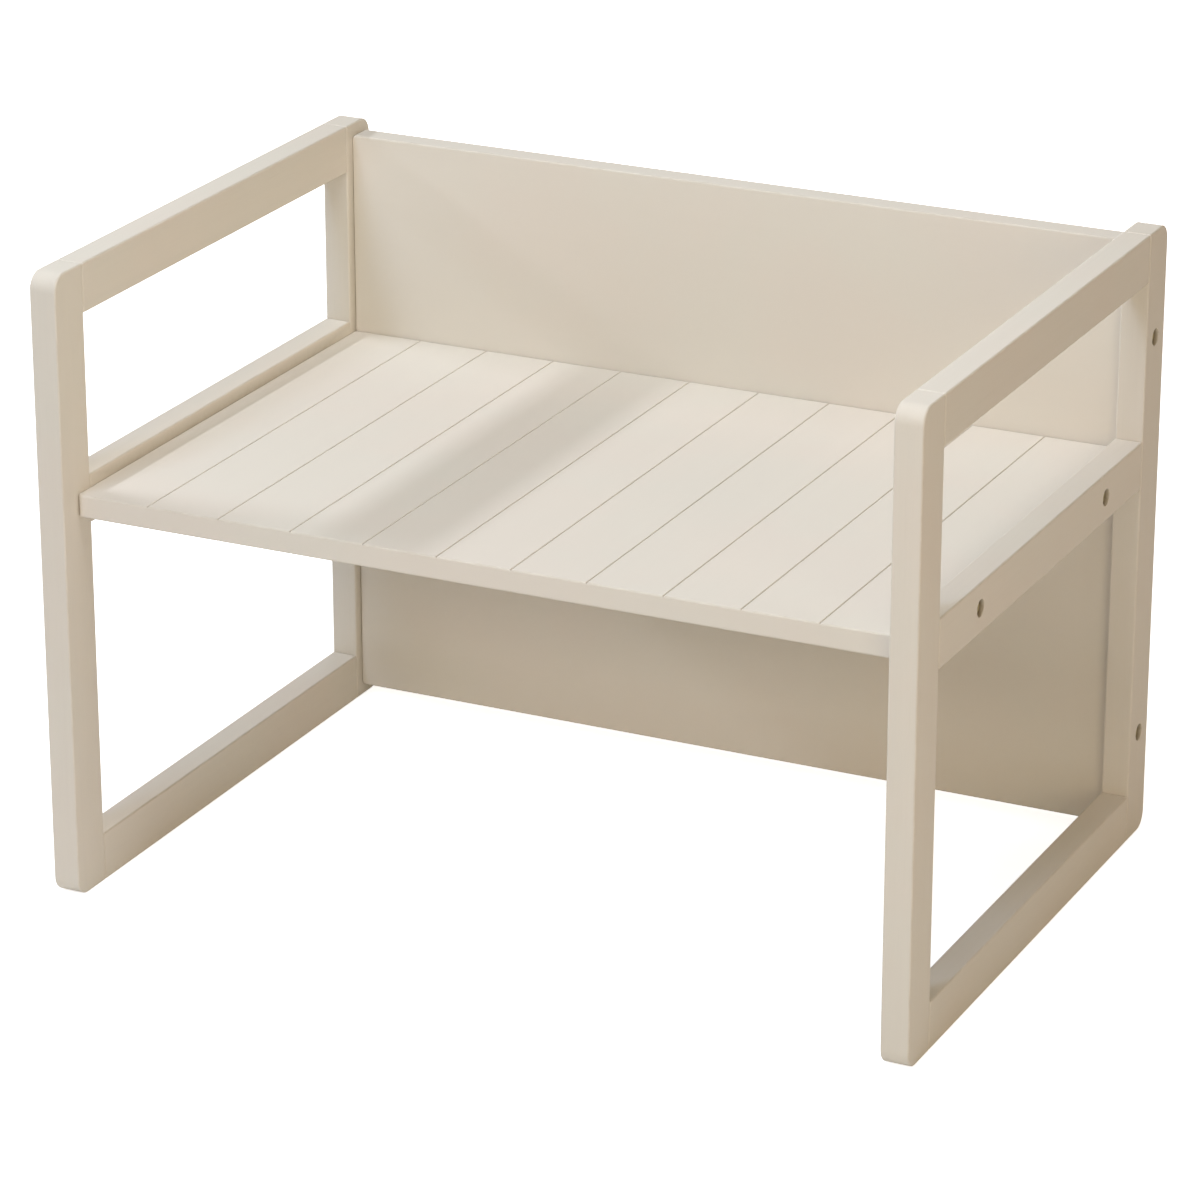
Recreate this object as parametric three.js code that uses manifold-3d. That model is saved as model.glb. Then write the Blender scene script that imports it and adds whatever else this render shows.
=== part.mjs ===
// A child's turn-over bench in lacquered wood: two open side frames, a grooved seat board between
// them and a plain back board behind it. Stood on its other end of the frames, it has a lower seat.
// Millimetres, +Z up, front towards -Y, origin on the floor under the middle of the bench.
import * as THREE from "three";
import { mergeVertices } from "three/addons/utils/BufferGeometryUtils.js";
import Module from "manifold-3d";

const wasm = await Module();
wasm.setup();

// Overall size
const benchWidth = 640;
const benchDepth = 440;
const benchHeight = 450;

// Frame stock, one size for stiles and rails
const stockWidth = 35;
const stockThickness = 20;
const stockArris = 2;
const railEndArris = 1;
const frameCornerRadius = 12;

// Seat board, let in between the seat rails at their mid height
const seatRailLevel = 283.5;
const seatThickness = 16;
const seatSetback = 17.5;
const stripCount = 11;
const grooveWidth = 2;
const grooveDepth = 1;

// Back board, let in between the rear stiles at their mid width
const backThickness = 18;
const backEndGap = 8.5;

// Edges of both boards
const boardArris = 2;
const boardCornerRadius = 3;

// Dowels, two in each rail end
const dowelDiameter = 8;
const dowelLength = 30;
const dowelChamfer = 1;
const dowelSpacing = 18;

// Connector screws, driven through the frames into the boards' ends
const screwHeadDiameter = 10;
const screwHeadHeight = 5;
const screwHeadArris = 0.6;
const screwNeckDiameter = 7;
const screwCoreDiameter = 5;
const screwLength = 50;
const screwTipLength = 4;
const socketAcrossFlats = 5;
const socketDepth = 3;
const counterboreDiameter = 12;
const screwHeadRecess = 3;
const seatScrewSpacing = 230;
const backScrewInset = 78;

// Clearances
const glueLine = 0.2;
const boardEndGap = 0.2;
const boardJointGap = 0.3;
const dowelPlay = 0.2;
const dowelEndPlay = 1;
const screwPlay = 0.2;
const screwSeatGap = 0.3;
const screwTipPlay = 2;

// How far a cutting tool runs past the face that it enters
const cutOverrun = 5;

// Facets
const cornerSegments = 4;
const arrisSegments = 3;
const endSegments = 2;
const dowelSides = 12;
const screwSides = 16;
const counterboreSides = 32;
const socketSides = 6;

// Places that follow from the sizes
const frontY = -benchDepth / 2;
const rearY = benchDepth / 2;
const innerX = benchWidth / 2 - stockThickness;
const frameX = benchWidth / 2 - stockThickness / 2;
const frontJointY = frontY + stockWidth;
const rearJointY = rearY - stockWidth;
const rearStileY = rearY - stockWidth / 2;
const backFrontY = rearStileY - backThickness / 2;
const counterboreDepth = screwHeadRecess + screwHeadHeight;
const screwReach = counterboreDepth + screwLength - stockThickness;
const railLevels = {
  arm: benchHeight - stockWidth / 2,
  seat: seatRailLevel,
  floor: stockWidth / 2,
};
const seatScrewPlaces = { front: -seatScrewSpacing / 2, rear: seatScrewSpacing / 2 };
const backScrewPlaces = { lower: backScrewInset, upper: benchHeight - backScrewInset };
const sides = { left: -1, right: 1 };

// Directions in which an outline is laid: the first two axes hold the outline, the third its thickness
const unit = {
  x: new THREE.Vector3(1, 0, 0),
  y: new THREE.Vector3(0, 1, 0),
  z: new THREE.Vector3(0, 0, 1),
};
const onSide = new THREE.Matrix4().makeBasis(unit.y, unit.z, unit.x);
const onFront = new THREE.Matrix4().makeBasis(unit.x, unit.z, unit.y.clone().negate());
const onFloor = new THREE.Matrix4();

// Finishes
const frameLacquer = { color: 0xd3cab9, roughness: 0.5, metalness: 0 };
const boardLacquer = { color: 0xdbd3c4, roughness: 0.45, metalness: 0 };
const beech = { color: 0xcfae82, roughness: 0.7, metalness: 0 };
const zincSteel = { color: 0x8d8f92, roughness: 0.35, metalness: 0.9 };

// A closed geometry as a solid that can be cut.
function solidFrom(geometry) {
  const bare = new THREE.BufferGeometry();
  bare.setAttribute("position", geometry.getAttribute("position"));
  bare.setIndex(geometry.getIndex());
  const merged = mergeVertices(bare);
  const vertProperties = new Float32Array(merged.getAttribute("position").array);
  const triVerts = new Uint32Array(merged.getIndex().array);
  return new wasm.Manifold(new wasm.Mesh({ numProp: 3, vertProperties, triVerts }));
}

// A solid as a geometry that can be drawn.
function geometryFrom(solid) {
  const { vertProperties, triVerts } = solid.getMesh();
  const geometry = new THREE.BufferGeometry();
  geometry.setAttribute("position", new THREE.BufferAttribute(vertProperties, 3));
  geometry.setIndex(new THREE.BufferAttribute(triVerts, 1));
  const flat = geometry.toNonIndexed();
  flat.computeVertexNormals();
  return flat;
}

// A geometry with every tool in the list cut away from it.
function cutAway(geometry, tools) {
  const body = tools.reduce((left, tool) => left.subtract(solidFrom(tool)), solidFrom(geometry));
  return geometryFrom(body);
}

function pieceOf(name, geometry, finish) {
  const mesh = new THREE.Mesh(geometry, new THREE.MeshStandardMaterial(finish));
  mesh.name = name;
  return mesh;
}

// A rectangle round its own middle, with a radius for each corner, anticlockwise from the low left.
function rectangleOutline(width, height, radii) {
  const [lowLeft, lowRight, highRight, highLeft] = radii;
  const right = width / 2;
  const top = height / 2;
  const quarter = Math.PI / 2;
  const outline = new THREE.Shape();
  const corner = (x, y, radius, start) => {
    if (radius > 0) outline.absarc(x, y, radius, start, start + quarter);
    else outline.lineTo(x, y);
  };
  outline.moveTo(lowLeft - right, -top);
  corner(right - lowRight, lowRight - top, lowRight, -quarter);
  corner(right - highRight, top - highRight, highRight, 0);
  corner(highLeft - right, top - highLeft, highLeft, quarter);
  corner(lowLeft - right, lowLeft - top, lowLeft, Math.PI);
  return outline;
}

// An outline given a thickness, centred on it, with both of its faces' edges rounded by the arris.
function easedPlate(outline, thickness, arris, bevelSegments, lie) {
  const geometry = new THREE.ExtrudeGeometry(outline, {
    depth: thickness - arris * 2,
    bevelThickness: arris,
    bevelSize: arris,
    bevelOffset: -arris,
    bevelSegments,
    curveSegments: cornerSegments,
  });
  geometry.translate(0, 0, arris - thickness / 2);
  return geometry.applyMatrix4(lie);
}

// A round tool or pin along X or Y, from one place on that axis to another.
function roundAlong(axis, from, to, radius, segments) {
  const geometry = new THREE.CylinderGeometry(radius, radius, Math.abs(to - from), segments);
  if (axis === unit.x) geometry.rotateZ(-Math.PI / 2);
  return geometry.translate(...axis.clone().multiplyScalar((from + to) / 2));
}

// The two heights of a rail end's dowels.
function dowelLevels(railLevel) {
  return { upper: railLevel + dowelSpacing / 2, lower: railLevel - dowelSpacing / 2 };
}

// The bores of one rail end's two dowels, which run across the joint into both members.
function dowelBores(jointY, railLevel) {
  const reach = dowelLength / 2 + dowelEndPlay;
  const radius = dowelDiameter / 2 + dowelPlay;
  return Object.values(dowelLevels(railLevel)).map((level) => {
    const bore = roundAlong(unit.y, jointY - reach, jointY + reach, radius, dowelSides);
    return bore.translate(0, 0, level);
  });
}

// The stepped hole of one connector screw through a frame member, in the frame's own X.
function screwHole(side, y, z) {
  const outerFace = (side * stockThickness) / 2;
  const floor = outerFace - side * counterboreDepth;
  const radius = counterboreDiameter / 2;
  const past = side * cutOverrun;
  const mouth = roundAlong(unit.x, floor, outerFace + past, radius, counterboreSides);
  const neckRadius = screwNeckDiameter / 2 + screwPlay;
  const neck = roundAlong(unit.x, -outerFace - past, outerFace, neckRadius, screwSides);
  return [mouth, neck].map((tool) => tool.translate(0, y, z));
}

// The pilot holes of the connector screws in the two ends of a board centred on x = 0.
function pilotHoles(places) {
  const bottom = innerX - screwReach - screwTipPlay;
  const radius = screwCoreDiameter / 2 + screwPlay;
  return Object.values(sides).flatMap((side) =>
    places.map(([y, z]) => {
      const hole = roundAlong(unit.x, side * bottom, side * (innerX + cutOverrun), radius, screwSides);
      return hole.translate(0, y, z);
    }),
  );
}

// A full-height stile. Its two outer corners are rounded in side view, its inner ones are square.
function stileGeometry(isFront) {
  const round = frameCornerRadius;
  const radii = isFront ? [round, 0, 0, round] : [0, round, round, 0];
  const outline = rectangleOutline(stockWidth, benchHeight, radii);
  const middleY = isFront ? frontJointY - stockWidth / 2 : rearStileY;
  const plate = easedPlate(outline, stockThickness, stockArris, arrisSegments, onSide);
  return plate.translate(0, middleY, benchHeight / 2);
}

// A rail between the stiles: the stock's rounded section, with its two ends lightly eased.
function railGeometry(level) {
  const radii = Array(4).fill(stockArris);
  const section = rectangleOutline(stockThickness, stockWidth, radii);
  const length = rearJointY - frontJointY - glueLine * 2;
  const bar = easedPlate(section, length, railEndArris, endSegments, onFront);
  return bar.translate(0, (frontJointY + rearJointY) / 2, level);
}

// One side frame: two stiles, three rails and the dowels that join them.
function sideFrame(sideName) {
  const side = sides[sideName];
  const frame = new THREE.Group();
  frame.position.x = side * frameX;
  const levels = Object.values(railLevels);

  const frontBores = levels.flatMap((level) => dowelBores(frontJointY, level));
  const frontStile = cutAway(stileGeometry(true), frontBores);
  frame.add(pieceOf(`${sideName}_front_stile`, frontStile, frameLacquer));

  const rearBores = levels.flatMap((level) => dowelBores(rearJointY, level));
  const backHoles = Object.values(backScrewPlaces).flatMap((z) => screwHole(side, rearStileY, z));
  const rearStile = cutAway(stileGeometry(false), [...rearBores, ...backHoles]);
  frame.add(pieceOf(`${sideName}_rear_stile`, rearStile, frameLacquer));

  const seatHoles = Object.values(seatScrewPlaces).flatMap((y) => screwHole(side, y, seatRailLevel));
  for (const [railName, level] of Object.entries(railLevels)) {
    const bores = [...dowelBores(frontJointY, level), ...dowelBores(rearJointY, level)];
    const holes = railName === "seat" ? seatHoles : [];
    const rail = cutAway(railGeometry(level), [...bores, ...holes]);
    frame.add(pieceOf(`${sideName}_${railName}_rail`, rail, frameLacquer));
    frame.add(...railDowels(`${sideName}_${railName}_rail`, level));
  }
  return frame;
}

// The four dowels of one rail, in the frame's own X.
function railDowels(railName, railLevel) {
  const ends = { front: frontJointY, rear: rearJointY };
  return Object.entries(ends).flatMap(([endName, jointY]) =>
    Object.entries(dowelLevels(railLevel)).map(([levelName, level]) => {
      const dowel = pieceOf(`${railName}_${endName}_${levelName}_dowel`, dowelGeometry(), beech);
      dowel.position.set(0, jointY, level);
      return dowel;
    }),
  );
}

// A solid turned round Y, from a profile of radius and place that starts and ends on the axis.
function turned(profile, segments) {
  return new THREE.LatheGeometry(profile.map(([radius, y]) => new THREE.Vector2(radius, y)), segments);
}

function dowelGeometry() {
  const radius = dowelDiameter / 2;
  const end = dowelLength / 2;
  const profile = [
    [0, -end],
    [radius - dowelChamfer, -end],
    [radius, dowelChamfer - end],
    [radius, end - dowelChamfer],
    [radius - dowelChamfer, end],
    [0, end],
  ];
  return turned(profile, dowelSides);
}

// A hex-socket connector screw along Y, head down at y = 0. Its thread is drawn at its core size.
function screwGeometry() {
  const head = screwHeadDiameter / 2;
  const neck = screwNeckDiameter / 2;
  const core = screwCoreDiameter / 2;
  const underHead = screwHeadHeight;
  const coreStart = underHead + stockThickness - counterboreDepth - screwSeatGap;
  const tip = underHead + screwLength;
  const profile = [
    [0, 0],
    [head - screwHeadArris, 0],
    [head, screwHeadArris],
    [head, underHead],
    [neck, underHead],
    [neck, coreStart - (neck - core)],
    [core, coreStart],
    [core, tip - screwTipLength],
    [0, tip],
  ];
  const socketRadius = socketAcrossFlats / 2 / Math.cos(Math.PI / socketSides);
  const socket = roundAlong(unit.y, -cutOverrun, socketDepth, socketRadius, socketSides);
  return cutAway(turned(profile, screwSides), [socket]);
}

// A connector screw on its place, driven in from the outer face of a frame.
function screwPiece(name, side, y, z) {
  const screw = pieceOf(name, screwGeometry(), zincSteel);
  screw.position.set(side * (benchWidth / 2 - screwHeadRecess + screwSeatGap), y, z);
  screw.rotation.z = (side * Math.PI) / 2;
  return screw;
}

// The eight connector screws: two into each end of the seat board and of the back board.
function screwPieces() {
  return Object.entries(sides).flatMap(([sideName, side]) => [
    ...Object.entries(seatScrewPlaces).map(([place, y]) =>
      screwPiece(`${sideName}_seat_screw_${place}`, side, y, seatRailLevel),
    ),
    ...Object.entries(backScrewPlaces).map(([place, z]) =>
      screwPiece(`${sideName}_back_screw_${place}`, side, rearStileY, z),
    ),
  ]);
}

// The grooves that part one face of the seat board into strips: V-shaped, from front to back.
// They are shallower than the board's arris, so they die out in its rounded front edge.
function seatGrooves(seatDepth, face) {
  const flare = grooveWidth / 2 / grooveDepth;
  const mouth = (grooveDepth + cutOverrun) * flare;
  const vee = new THREE.Shape();
  vee.moveTo(-mouth, cutOverrun);
  vee.lineTo(0, -grooveDepth);
  vee.lineTo(mouth, cutOverrun);
  const length = seatDepth + cutOverrun * 2;
  const pitch = (innerX * 2) / stripCount;
  return Array.from({ length: stripCount - 1 }, (_, index) => {
    const groove = new THREE.ExtrudeGeometry(vee, { depth: length, bevelEnabled: false });
    groove.translate(0, 0, -length / 2).applyMatrix4(onFront);
    if (face < 0) groove.rotateY(Math.PI);
    return groove.translate((index + 1) * pitch - innerX, 0, (face * seatThickness) / 2);
  });
}

// The seat board. Either face is the seat when the bench is turned over, so both are grooved.
function seatBoard() {
  const front = frontY + seatSetback;
  const rear = backFrontY - boardJointGap;
  const depth = rear - front;
  const middleY = (front + rear) / 2;
  const outline = rectangleOutline((innerX - boardEndGap) * 2, depth, Array(4).fill(boardCornerRadius));
  const plate = easedPlate(outline, seatThickness, boardArris, arrisSegments, onFloor);
  const grooves = [...seatGrooves(depth, 1), ...seatGrooves(depth, -1)];
  const holes = pilotHoles(Object.values(seatScrewPlaces).map((y) => [y - middleY, 0]));
  const board = pieceOf("seat_board", cutAway(plate, [...grooves, ...holes]), boardLacquer);
  board.position.set(0, middleY, seatRailLevel);
  return board;
}

// The back board, from just above the floor to just below the frames' tops.
function backBoard() {
  const height = benchHeight - backEndGap * 2;
  const middleZ = benchHeight / 2;
  const outline = rectangleOutline((innerX - boardEndGap) * 2, height, Array(4).fill(boardCornerRadius));
  const plate = easedPlate(outline, backThickness, boardArris, arrisSegments, onFront);
  const holes = pilotHoles(Object.values(backScrewPlaces).map((z) => [0, z - middleZ]));
  const board = pieceOf("back_board", cutAway(plate, holes), boardLacquer);
  board.position.set(0, rearStileY, middleZ);
  return board;
}

const bench = new THREE.Group();
bench.add(sideFrame("left"), sideFrame("right"));
bench.add(seatBoard(), backBoard(), ...screwPieces());

export default bench;
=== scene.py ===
"""Looks of a child's turn-over bench in lacquered wood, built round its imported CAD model.

Everything is in metres, in the CAD model's own frame: +Z up, the front towards -Y, and the origin
on the floor under the middle of the bench. Every member and board takes its place and size from
its CAD node, and every screw and dowel takes its place from its own.
"""

import logging
import math
import random
from dataclasses import dataclass, field
from enum import Enum, IntEnum
from functools import cache, partial, reduce
from itertools import pairwise
from typing import ClassVar

import bmesh
import bpy
from mathutils import Matrix, Vector
from mathutils.geometry import tessellate_polygon


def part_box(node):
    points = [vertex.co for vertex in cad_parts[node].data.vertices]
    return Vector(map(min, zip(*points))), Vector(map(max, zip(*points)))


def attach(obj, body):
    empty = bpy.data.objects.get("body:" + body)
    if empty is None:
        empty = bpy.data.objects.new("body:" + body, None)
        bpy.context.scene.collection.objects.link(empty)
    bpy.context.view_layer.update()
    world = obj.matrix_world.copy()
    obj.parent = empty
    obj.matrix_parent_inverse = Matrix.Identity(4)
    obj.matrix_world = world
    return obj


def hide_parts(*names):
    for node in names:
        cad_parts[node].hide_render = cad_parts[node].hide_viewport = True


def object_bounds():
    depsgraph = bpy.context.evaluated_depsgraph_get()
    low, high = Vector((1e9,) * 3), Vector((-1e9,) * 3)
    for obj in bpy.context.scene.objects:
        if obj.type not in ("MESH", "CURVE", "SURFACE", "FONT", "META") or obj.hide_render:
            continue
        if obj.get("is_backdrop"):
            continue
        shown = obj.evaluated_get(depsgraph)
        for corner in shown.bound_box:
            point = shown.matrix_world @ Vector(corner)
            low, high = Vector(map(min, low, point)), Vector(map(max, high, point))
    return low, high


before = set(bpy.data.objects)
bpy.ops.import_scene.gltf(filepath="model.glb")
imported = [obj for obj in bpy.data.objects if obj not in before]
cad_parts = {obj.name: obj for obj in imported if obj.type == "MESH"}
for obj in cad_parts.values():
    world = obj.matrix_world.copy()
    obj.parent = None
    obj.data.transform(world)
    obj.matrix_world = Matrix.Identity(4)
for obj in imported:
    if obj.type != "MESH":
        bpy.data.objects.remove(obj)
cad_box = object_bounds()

log = logging.getLogger("bench")

MM = 0.001
BODY = "root"
MEMBER_SEED = 5

Colour = tuple[float, float, float]
Place = tuple[float, float, float]
Socket = bpy.types.NodeSocket
Wire = Socket | float | int | str | tuple | bpy.types.Material | bpy.types.Object


# Named choices

class Side(Enum):
    """The two side frames, by the sign of X on which each one stands."""

    LEFT = -1
    RIGHT = 1

    @property
    def word(self) -> str:
        """The side's name as the CAD nodes have it."""
        return self.name.lower()


class Run(Enum):
    """The axis along which a member's wood, or a board's rolled lacquer, runs."""

    ACROSS = 0
    FRONT_TO_BACK = 1
    UPRIGHT = 2

    def stretch(self, along: float, across: float) -> tuple[float, ...]:
        """Texture scales along X, Y and Z, with a different one along the run.

        Args:
            along: How many features fit in a metre along the run.
            across: How many fit in a metre across it.

        Returns:
            The three scales.
        """
        return tuple(along if axis == self.value else across for axis in range(3))


class Lie(Enum):
    """How a plate's outline (u, v) and its thickness (w) lie in the bench's frame."""

    ON_SIDE = ((0, 1, 0), (0, 0, 1), (1, 0, 0))
    ON_FRONT = ((1, 0, 0), (0, 0, 1), (0, -1, 0))
    ON_FLOOR = ((1, 0, 0), (0, 1, 0), (0, 0, 1))

    def matrix(self, middle: Vector) -> Matrix:
        """The transform from (u, v, w) about a plate's middle to the bench's frame.

        Args:
            middle: Where the plate's middle is.

        Returns:
            The four by four matrix.
        """
        return Matrix.Translation(middle) @ Matrix(self.value).transposed().to_4x4()

    def measured(self, size: Vector) -> list[float]:
        """A plate's size along u, v and w, from its size along X, Y and Z."""
        return [abs(Vector(axis).dot(size)) for axis in self.value]


class Edge(IntEnum):
    """A plate's edges, anticlockwise, by the way each one faces."""

    PLUS_U = 0
    PLUS_V = 1
    MINUS_U = 2
    MINUS_V = 3

    @property
    def axis(self) -> int:
        """The axis that the edge faces along, 0 for u and 1 for v."""
        return self.value % 2

    @property
    def sign(self) -> int:
        """Which way it faces along that axis."""
        return 1 if self in (Edge.PLUS_U, Edge.PLUS_V) else -1

    @property
    def following(self) -> "Edge":
        """The next edge, anticlockwise."""
        return Edge((self + 1) % len(Edge))


class End(Enum):
    """The two ends of a rail, and the stiles that they meet."""

    FRONT = "front"
    REAR = "rear"

    @property
    def rail_edge(self) -> Edge:
        """The edge of a rail that is this end of it."""
        return Edge.MINUS_U if self is End.FRONT else Edge.PLUS_U

    @property
    def stile_edge(self) -> Edge:
        """The edge of this end's stile that the rails meet."""
        return Edge.PLUS_U if self is End.FRONT else Edge.MINUS_U


class TreeKind(Enum):
    """What a node group is for."""

    SHADER = "ShaderNodeTree"
    GEOMETRY = "GeometryNodeTree"


class SocketKind(Enum):
    """The kinds of named input and output that the node groups have."""

    NUMBER = "NodeSocketFloat"
    COUNT = "NodeSocketInt"
    COLOUR = "NodeSocketColor"
    VECTOR = "NodeSocketVector"
    GEOMETRY = "NodeSocketGeometry"
    OBJECT = "NodeSocketObject"
    MATERIAL = "NodeSocketMaterial"


# Node trees

@dataclass(frozen=True)
class Plug:
    """One named input or output of a node group."""

    name: str
    kind: SocketKind
    default: float | int | tuple | None = None


class Wiring:
    """A node tree that is being laid out: it makes nodes, sets their inputs and joins them."""

    # Where a Mix node keeps its sockets for colours
    MIX_SHARE, MIX_FIRST, MIX_SECOND, MIX_RESULT = 0, 6, 7, 2

    def __init__(self, tree: bpy.types.NodeTree) -> None:
        """Take a tree to work on."""
        self.tree = tree

    def add(
        self, kind: str, settings: dict | None = None, wires: dict | None = None
    ) -> bpy.types.Node:
        """Make a node.

        Args:
            kind: The node's type name.
            settings: Properties of the node to set.
            wires: Its inputs, by name or index, each a value or a socket to join to it.

        Returns:
            The new node.
        """
        node = self.tree.nodes.new(kind)
        for key, value in (settings or {}).items():
            setattr(node, key, value)
        for key, value in (wires or {}).items():
            self.join(value, node.inputs[key])
        return node

    def made(self, kind: str, settings: dict | None = None, wires: dict | None = None) -> Socket:
        """Make a node, from what add takes, and give its first output."""
        return self.add(kind, settings, wires).outputs[0]

    def join(self, value: Wire, socket: Socket) -> None:
        """Give an input its value, or join another node's output to it.

        Args:
            value: The value or the output.
            socket: The input.
        """
        if isinstance(value, Socket):
            self.tree.links.new(value, socket)
        else:
            socket.default_value = value

    def math(self, operation: str, *values: Wire, clamp: bool = False) -> Socket:
        """A Math node's result.

        Args:
            operation: The node's operation.
            values: Its operands.
            clamp: Whether the result is held between 0 and 1.

        Returns:
            The result's socket.
        """
        settings = {"operation": operation, "use_clamp": clamp}
        return self.made("ShaderNodeMath", settings, dict(enumerate(values)))

    def plus(self, *values: Wire) -> Socket:
        """The sum of some numbers."""
        return reduce(partial(self.math, "ADD"), values)

    def minus(self, value: Wire, less: Wire) -> Socket:
        """One number less another."""
        return self.math("SUBTRACT", value, less)

    def times(self, *values: Wire) -> Socket:
        """The product of some numbers."""
        return reduce(partial(self.math, "MULTIPLY"), values)

    def mix(self, share: Wire, first: Wire, second: Wire, blend: str = "MIX") -> Socket:
        """A mixed colour.

        Args:
            share: How much of the second colour goes in.
            first: The first colour.
            second: The second colour.
            blend: The way in which they mix.

        Returns:
            The mixed colour's socket.
        """
        settings = {"data_type": "RGBA", "blend_type": blend}
        wires = {self.MIX_SHARE: share, self.MIX_FIRST: first, self.MIX_SECOND: second}
        return self.add("ShaderNodeMix", settings, wires).outputs[self.MIX_RESULT]

    def ranged(
        self, value: Wire, old: tuple[float, float], new: tuple[float, float] = (0.0, 1.0)
    ) -> Socket:
        """A value carried from one range to another and held inside it.

        Args:
            value: The value.
            old: The range it comes from.
            new: The range it goes to.

        Returns:
            The new value's socket.
        """
        return self.made("ShaderNodeMapRange", None, dict(enumerate((value, *old, *new))))

    def noise(self, vector: Wire, scale: Wire, detail: float, roughness: float = 0.5) -> Socket:
        """A noise texture's grey value.

        Args:
            vector: Where it is read.
            scale: Its features in a unit of that vector.
            detail: Its octaves.
            roughness: How strong the finer octaves are.

        Returns:
            The value's socket.
        """
        wires = {"Vector": vector, "Scale": scale, "Detail": detail, "Roughness": roughness}
        return self.made("ShaderNodeTexNoise", None, wires)

    def cells(self, vector: Wire, scale: float) -> bpy.types.NodeOutputs:
        """The outputs of a texture of small cells, each one with a colour of its own."""
        return self.add("ShaderNodeTexVoronoi", None, {"Vector": vector, "Scale": scale}).outputs

    def red(self, colour: Wire) -> Socket:
        """A colour's first channel."""
        return self.made("ShaderNodeSeparateColor", None, {0: colour})

    def scaled(self, vector: Wire, scale: Wire) -> Socket:
        """A vector multiplied by another, axis by axis."""
        settings = {"operation": "MULTIPLY"}
        return self.made("ShaderNodeVectorMath", settings, {0: vector, 1: scale})

    def attribute(self, name: str) -> Socket:
        """A named attribute of the mesh, as a shader reads it."""
        return self.add("ShaderNodeAttribute", {"attribute_name": name}).outputs["Fac"]

    def use(self, group: bpy.types.NodeTree, wires: dict[str, Wire]) -> bpy.types.NodeOutputs:
        """Place a shader group, with its inputs by name, and give its outputs."""
        return self.add("ShaderNodeGroup", {"node_tree": group}, wires).outputs


class MaterialWiring(Wiring):
    """The wiring of a new material, round its Principled shader."""

    def __init__(self, name: str) -> None:
        """Start the material and read its Object coordinates.

        Args:
            name: The material's name.
        """
        self.material = bpy.data.materials.new(name)
        self.material.use_nodes = True
        super().__init__(self.material.node_tree)
        self.shader = self.tree.nodes["Principled BSDF"]
        self.place = self.add("ShaderNodeTexCoord").outputs["Object"]

    def feed(self, wires: dict[str, Wire]) -> None:
        """Give the shader its inputs, by name.

        Args:
            wires: The values and sockets.
        """
        for key, value in wires.items():
            self.join(value, self.shader.inputs[key])


class GroupWiring(Wiring):
    """The wiring of a new node group with named inputs and outputs."""

    def __init__(
        self, name: str, kind: TreeKind, inputs: list[Plug], outputs: list[Plug]
    ) -> None:
        """Start the group.

        Args:
            name: The group's name.
            kind: What it is for.
            inputs: Its inputs, in order.
            outputs: Its outputs, in order.
        """
        super().__init__(bpy.data.node_groups.new(name, kind.value))
        for direction, plugs in (("INPUT", inputs), ("OUTPUT", outputs)):
            for plug in plugs:
                socket = self.tree.interface.new_socket(
                    plug.name, in_out=direction, socket_type=plug.kind.value
                )
                if plug.default is not None:
                    socket.default_value = plug.default
        self.given = self.add("NodeGroupInput").outputs
        self.results = self.add("NodeGroupOutput").inputs

    def give(self, wires: dict[str, Wire]) -> bpy.types.NodeTree:
        """Join the group's outputs and hand the group over.

        Args:
            wires: What goes to each output, by name.

        Returns:
            The group.
        """
        for key, value in wires.items():
            self.join(value, self.results[key])
        return self.tree


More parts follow.
